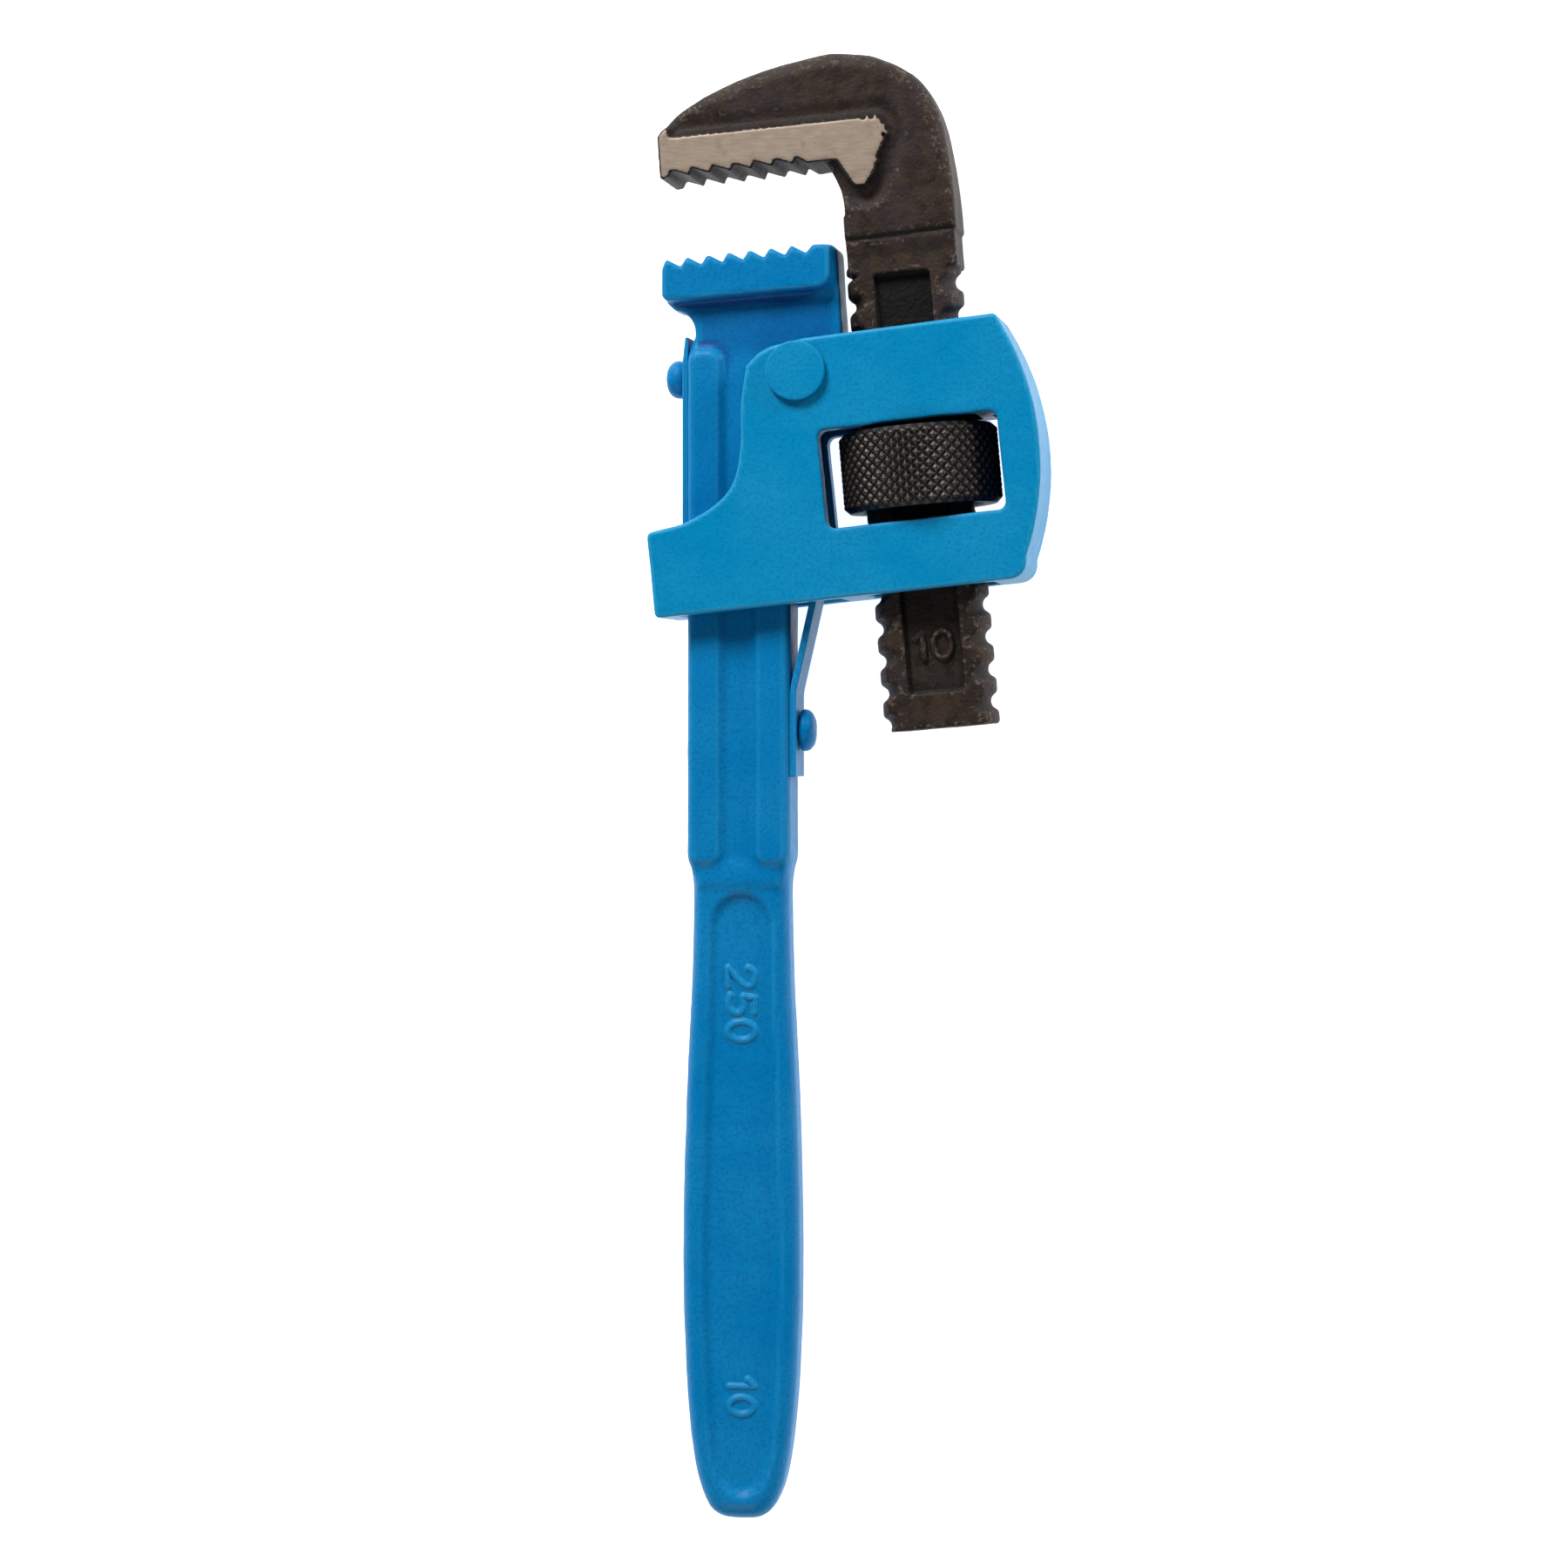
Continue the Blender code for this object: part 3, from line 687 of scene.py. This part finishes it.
def hook_head(block, pad):
    """The bent head, rounder towards its crown, with a groove round the pad that deepens at its tip."""
    back = smooth([
        (29.3, 24), (29.2, 31), (28.3, 40.1), (26.5, 45.8), (23.6, 49.7), (17.8, 53.1), (12.6, 54.3),
        (8.0, 54.5), (-3.1, 52.7), (-11.5, 49.9), (-17.5, 46.6), (-21.0, 43.2),
    ])
    throat = smooth([(6.6, 36.8), (8.3, 34.3), (9.7, 31.0), (10.2, 27.5), (10.0, 24)])
    outline = [*throat, (10.0, 22.2), (29.3, 22.2), *back, (-21.0, 38)]
    bulge = np.clip((block.y - 24) / 16, 0, 1) * np.clip((block.x + 22) / 14, 0, 1)
    head = block.prism(outline, HEAD, 0.6 + 2.4 * bulge)
    pocket = np.exp(-((block.x - 13.6) ** 2 + (block.y - 31.2) ** 2) / 30)
    groove = np.hypot(pad - 1.8, np.abs(block.z) - HEAD - 0.7) - 1.0 - 1.1 * pocket
    return cut(head, groove, 0.9)


def hook_pad(block, pad):
    """The ground pad, with a ragged edge everywhere but along its teeth and its left end."""
    ragged = np.sin(4.1 * block.x + 2.3 * block.y) + np.sin(3.3 * block.y - 4.7 * block.x + 1)
    ragged = 0.16 * ragged * np.clip((block.x - 12.5) / 2, 0.25, 1)
    ragged *= np.clip((block.y - JAW_VALLEY_Y) / 2, 0, 1) + np.clip((block.x - 14) / 1.5, 0, 1)
    edge = 0.16 + 0.6 * np.clip(-20.3 - block.x, 0, 1)
    return meet(pad + ragged, np.abs(block.z) - PAD, edge)


def neck_crease(block):
    """The shallow line across the neck, where the head begins."""
    level = block.y - 22.0 - 0.03 * (block.x - AXIS_X)
    return np.hypot(np.abs(block.z) - SHANK - 0.75, level) - 0.42


def make_hook_jaw(finish):
    block = Block((-22, -64.2, -8.8), (30.6, 55.6, 8.8), HOOK_CELL)
    pad = pad_field(block)
    solid = join(hook_rack(block), hook_head(block, pad), 0.2)
    solid = join(solid, hook_pad(block, pad), 0.3)
    solid = cut(solid, neck_crease(block), 0.25)
    piece = skin("hook_jaw_forging", block, solid, axes(JAW_TILT))
    forge(piece, 0.14, 2.5)
    return finish_piece(piece, "hook_jaw", finish, "forged_scale", "hook_jaw")


def knurl(angle, height):
    """Height of crossed V grooves, from 0 in a groove to 1 on a diamond's flattened tip."""
    rise = height / math.tan(KNURL_LEAN) / (2 * math.pi * NUT_RADIUS / KNURL_STARTS)
    around = KNURL_STARTS * angle / (2 * math.pi)
    ways = [np.abs((around + side * rise) % 1 - 0.5) * 2 for side in (-1, 1)]
    return np.minimum(1 - np.maximum(*ways), KNURL_FLAT) / KNURL_FLAT


def nut_ridge(angle, height):
    """Height of the nut's inner thread, from 0 in its groove to 1 on its ridge."""
    start = RIDGE_Y - THREAD_PITCH / 2 - NUT_Y
    turn = (height - start - THREAD_PITCH * angle / (2 * math.pi)) / THREAD_PITCH
    return np.clip(1.5 - 3.2 * np.abs((turn + 0.5) % 1 - 0.5) / 0.5, 0, 1)


def nut_section():
    """The nut's (radius, height) points down its rim and up its bore, and masks of the two."""
    half, root, bore = NUT_HEIGHT / 2, KNURL_ROOT, NUT_BORE
    rim_y = np.linspace(half - 0.04, 0.04 - half, NUT_RIM_ROWS)
    bore_y = np.linspace(0.8 - half, half - 0.8, NUT_BORE_ROWS)
    foot = [(root - 0.9, -half), (root - 1.5, -half), (bore + 1.0, -half), (bore + 0.4, 0.1 - half)]
    top = [(bore + 0.4, half - 0.1), (bore + 1.0, half), (root - 1.5, half), (root - 0.9, half)]
    section = [*((root, y) for y in rim_y), *foot, *((bore, y) for y in bore_y), *top]
    row = np.arange(len(section))[:, None]
    first = NUT_RIM_ROWS + len(foot)
    return np.array(section), row < NUT_RIM_ROWS, (row >= first) & (row < first + NUT_BORE_ROWS)


def make_nut(finish):
    section, knurled, threaded = nut_section()
    angle = np.arange(NUT_COLUMNS) * 2 * math.pi / NUT_COLUMNS
    radius, height = (np.repeat(values[:, None], NUT_COLUMNS, 1) for values in section.T)
    tips = knurl(angle[None], height) * knurled
    to_end = NUT_HEIGHT / 2 - np.abs(height)
    chamfer = KNURL_ROOT + KNURL_DEPTH - np.maximum(0, CHAMFER - to_end)
    radius = np.where(knurled, np.minimum(KNURL_ROOT + KNURL_DEPTH * tips, chamfer), radius)
    radius = radius - NUT_RIDGE * nut_ridge(angle, height) * threaded
    points = np.stack([radius * np.cos(angle), height, -radius * np.sin(angle)], axis=-1)
    points += np.array([AXIS_X, NUT_Y, 0])
    row, column = np.arange(len(section))[:, None], np.arange(NUT_COLUMNS)[None]
    below, after = (row + 1) % len(section), (column + 1) % NUT_COLUMNS
    corners = ((row, column), (row, after), (below, after), (below, column))
    faces = np.stack([NUT_COLUMNS * at_row + at for at_row, at in corners], axis=-1).reshape(-1, 4)
    edges = np.where(knurled, tips, PLAIN_WEAR).ravel()
    piece = mesh_object("knurled_nut", points.reshape(-1, 3), faces, edges, axes(JAW_TILT))
    return finish_piece(piece, "adjusting_nut", finish, "black_oxide", "adjusting_nut")


def make_leaf(name, corners, finish, node):
    """A leaf spring drawn edge on, baked into world space and attached to no body."""
    xs, ys = [corner[0] for corner in corners], [corner[1] for corner in corners]
    low = (min(xs) - LEAF_MARGIN, min(ys) - LEAF_MARGIN, -SPRING - LEAF_MARGIN)
    high = (max(xs) + LEAF_MARGIN, max(ys) + LEAF_MARGIN, SPRING + LEAF_MARGIN)
    block = Block(low, high, LEAF_CELL)
    piece = skin(name, block, block.prism(corners, SPRING, 0.22), axes(0))
    piece.data.materials.append(finish)
    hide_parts(node)
    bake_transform(piece)
    return piece


def make_rivet(name, radius, height, x, y, outward, finish, node):
    """A round-headed rivet along X, peened a little flat."""
    head = [(0, 1), (0.35, 0.985), (0.66, 0.9), (0.88, 0.7), (0.99, 0.4), (0.97, 0.12), (0.86, 0.0)]
    profile = [
        *((radius * out, height * up) for out, up in head),
        (RIVET_SHANK, 0), (RIVET_SHANK, -0.3), (RIVET_SHANK, -RIVET_DEPTH), (0, -RIVET_DEPTH),
    ]
    place = Matrix.Translation(PIVOT + Vector((x, y, 0)) * MM)
    place = place @ Matrix.Rotation(outward * math.pi / 2, 4, "Y")
    piece = revolved(name, smooth(profile, 4), place, 64)
    weld(piece)
    forge(piece, 0.3, 3)
    return finish_piece(piece, "handle", finish, "blue_enamel", node)


def make_springs(finish):
    inner = SHANK_LEFT - LEAF_GAP
    outer = inner - BACK_LEAF
    back = [(outer, -38.5), (inner, -38.5), (inner, 6.6), (outer + 0.5, 6.6), (outer, 2)]
    make_leaf(
        "back_leaf_spring", back, finish, "back_spring",
    )
    make_rivet("back_rivet", 3.35, 3.2, outer - 0.25, BACK_RIVET_Y, -1, finish, "back_spring_rivet")
    inner = SHANK_RIGHT + LEAF_GAP
    outer = inner + FRONT_LEAF
    front = [
        (inner, -69.8), (outer, -69.8), (outer, -55.2, 8), (outer + 5.9, -29), (outer + 4.7, -29),
        (inner, -55.0, 8),
    ]
    make_leaf(
        "front_leaf_spring", front, finish, "front_spring",
    )
    make_rivet("front_rivet", 3.7, 2.6, outer + 0.2, FRONT_RIVET_Y, 1, finish, "front_spring_rivet")


# ---------------------------------------------------------------- size numbers

def oval(width, height):
    turns = [2 * math.pi * k / 20 for k in range(21)]
    return [(width * (0.5 + 0.5 * math.cos(a)), height * (0.5 + 0.5 * math.sin(a))) for a in turns]


DIGITS = {
    "0": oval(0.6, 1.0),
    "1": [(0.12, 0.76), (0.36, 1.0), (0.36, 0.0)],
    "2": [
        *smooth([
            (0.02, 0.76), (0.12, 0.95), (0.32, 1.0), (0.54, 0.92), (0.6, 0.72), (0.46, 0.46), (0.02, 0.0),
        ]),
        (0.6, 0.0),
    ],
    "5": [
        (0.56, 1.0), (0.1, 1.0), (0.06, 0.56),
        *smooth([
            (0.06, 0.56), (0.32, 0.62), (0.54, 0.5), (0.6, 0.3), (0.48, 0.08), (0.26, 0.0), (0.02, 0.08),
        ]),
    ],
}


def strokes(text, corner, size, pitch, downward):
    """The centre line of each digit. A downward number is turned clockwise and runs down the piece."""
    for place, digit in enumerate(text):
        points = [
            (pitch * place + across * size * DIGIT_STRETCH, up * size) for across, up in DIGITS[digit]
        ]
        if downward:
            points = [(up, -across) for across, up in points]
        yield [(corner[0] + x, corner[1] + y) for x, y in points]


def stroke_field(block, lines):
    """Distance in the plane to the nearest of some open lines."""
    nearest = np.full(np.broadcast(block.x, block.y).shape, 1e3, np.float32)
    for points in lines:
        for (ax, ay), (bx, by) in zip(points, points[1:]):
            ex, ey = bx - ax, by - ay
            along = ((block.x - ax) * ex + (block.y - ay) * ey) / (ex * ex + ey * ey)
            along = np.clip(along, 0, 1)
            away = np.hypot(block.x - ax - along * ex, block.y - ay - along * ey)
            nearest = np.minimum(nearest, away)
    return nearest


def number_piece(name, text, layout, downward, floor, rise, place):
    """A size number in round strokes that stand up from a flat floor."""
    corner, size, pitch = layout
    width = pitch * len(text)
    across, foot = ((size, width), corner[1] - width) if downward else ((width, size), corner[1])
    low = (corner[0] - NUMBER_MARGIN, foot - NUMBER_MARGIN, floor - 0.4)
    spare = 2 * NUMBER_MARGIN
    high = (low[0] + across[0] + spare, low[1] + across[1] + spare, floor + rise + 0.4)
    block = Block(low, high, NUMBER_CELL)
    nearest = stroke_field(block, strokes(text, corner, size, pitch, downward))
    slope = np.clip((STROKE - nearest) / STROKE_SLOPE, 0, 1)
    top = floor + rise * slope * slope * (3 - 2 * slope) - 0.03
    solid = np.maximum(np.maximum(block.z - top, floor - 0.25 - block.z), nearest - STROKE_FOOT)
    # Painted shade on the numbers, which also takes away their edge chips.
    return skin(name, block, solid, place, NUMBER_SHADE_AND_WEAR)


def flat(tilt, centre_x, side):
    """The axes of a piece's front flat, or those turned over about centre_x for its back."""
    place = axes(tilt)
    if side == "back":
        place @= Matrix.Translation((centre_x * MM, 0, 0)) @ Matrix.Rotation(math.pi, 4, "Y")
        place @= Matrix.Translation((-centre_x * MM, 0, 0))
    return place


def make_numbers(blue, scale):
    for side in ("front", "back"):
        grip, rack = flat(0, CENTRE_X, side), flat(JAW_TILT, AXIS_X, side)
        piece = number_piece("grip_size_mm_" + side, "250", GRIP_MM, True, PANEL, GRIP_RISE, grip)
        finish_piece(piece, "handle", blue, "blue_enamel")
        piece = number_piece("grip_size_inch_" + side, "10", GRIP_INCH, True, PANEL, GRIP_RISE, grip)
        finish_piece(piece, "handle", blue, "blue_enamel")
        piece = number_piece("rack_size_inch_" + side, "10", RACK_INCH, False, RECESS, RACK_RISE, rack)
        finish_piece(piece, "hook_jaw", scale, "forged_scale")


# ---------------------------------------------------------------- stage

def make_floor():
    mesh = bpy.data.meshes.new("floor")
    corners = [(x * FLOOR_REACH, y * FLOOR_REACH, 0) for x, y in ((-1, -1), (1, -1), (1, 1), (-1, 1))]
    mesh.from_pydata(corners, [], [(0, 1, 2, 3)])
    floor = bpy.data.objects.new("floor", mesh)
    floor.location.z = FLOOR_Z
    bpy.context.scene.collection.objects.link(floor)
    mesh.materials.append(Finish("pale_floor").set(
        Base_Color=(0.9, 0.9, 0.9, 1),
        Roughness=0.7,
        Emission_Color=(1, 1, 1, 1),
        Emission_Strength=FLOOR_GLOW,
    ))


def area_light(name, place, target, size, power):
    light = bpy.data.lights.new(name, "AREA")
    light.shape, light.size, light.energy = "DISK", size, power
    lamp = bpy.data.objects.new(name, light)
    bpy.context.scene.collection.objects.link(lamp)
    lamp.location = place
    lamp.rotation_euler = (Vector(target) - Vector(place)).to_track_quat("-Z", "Y").to_euler()


def make_lights():
    """Soft boxes low enough on each side that the flats mirror none of them."""
    area_light("softbox_key", (-0.5, 1.15, 0.85), (0, 0.02, 0), 0.6, 25)
    area_light("softbox_right", (1.1, 0.75, 0.4), (0, 0, 0), 0.5, 8)
    area_light("softbox_fill", (-0.2, -1.1, 0.9), (0, -0.12, 0), 0.8, 6)
    world = bpy.data.worlds.new("studio")
    world.use_nodes = True
    background = world.node_tree.nodes["Background"]
    background.inputs["Color"].default_value = (1, 1, 1, 1)
    background.inputs["Strength"].default_value = WORLD_GLOW
    bpy.context.scene.world = world
    bpy.context.scene.view_settings.view_transform = "Standard"


def make_camera():
    """Above the wrench and a little to its right, with +Y up in the picture."""
    forward = (CAMERA_TARGET - CAMERA_PLACE).normalized()
    right = forward.cross(Vector((0, 1, 0))).normalized()
    up = right.cross(forward)
    camera = bpy.data.objects.new("camera", bpy.data.cameras.new("camera"))
    camera.data.lens = LENS
    camera.data.clip_start = NEAREST
    bpy.context.scene.collection.objects.link(camera)
    turn = Matrix((right, up, -forward)).transposed().to_4x4()
    camera.matrix_world = Matrix.Translation(CAMERA_PLACE) @ turn
    bpy.context.scene.camera = camera


# The dark violet blue of the painted shade in the enamel's hollows.
shade_blue = colour("10397E")
handle_blue = enamel("handle_enamel", colour("0077B3"), colour("36A2D0"), colour("00629E"), shade_blue)
# Painted light: the frame's enamel is a lighter copy of the handle's, as the frame stands higher, nearer
# the lamps.
lit_frame_blue = enamel("frame_enamel_lit_copy", colour("0085B9"), colour("42AED4"), colour("0071A8"), shade_blue)
scale_black = forged_scale("forged_scale")
nut_black = black_oxide("black_oxide")

make_camera()
make_floor()
make_lights()
make_handle(handle_blue)
make_frame(lit_frame_blue)
make_pin(lit_frame_blue)
make_hook_jaw(scale_black)
make_nut(nut_black)
make_springs(handle_blue)
make_numbers(handle_blue, scale_black)
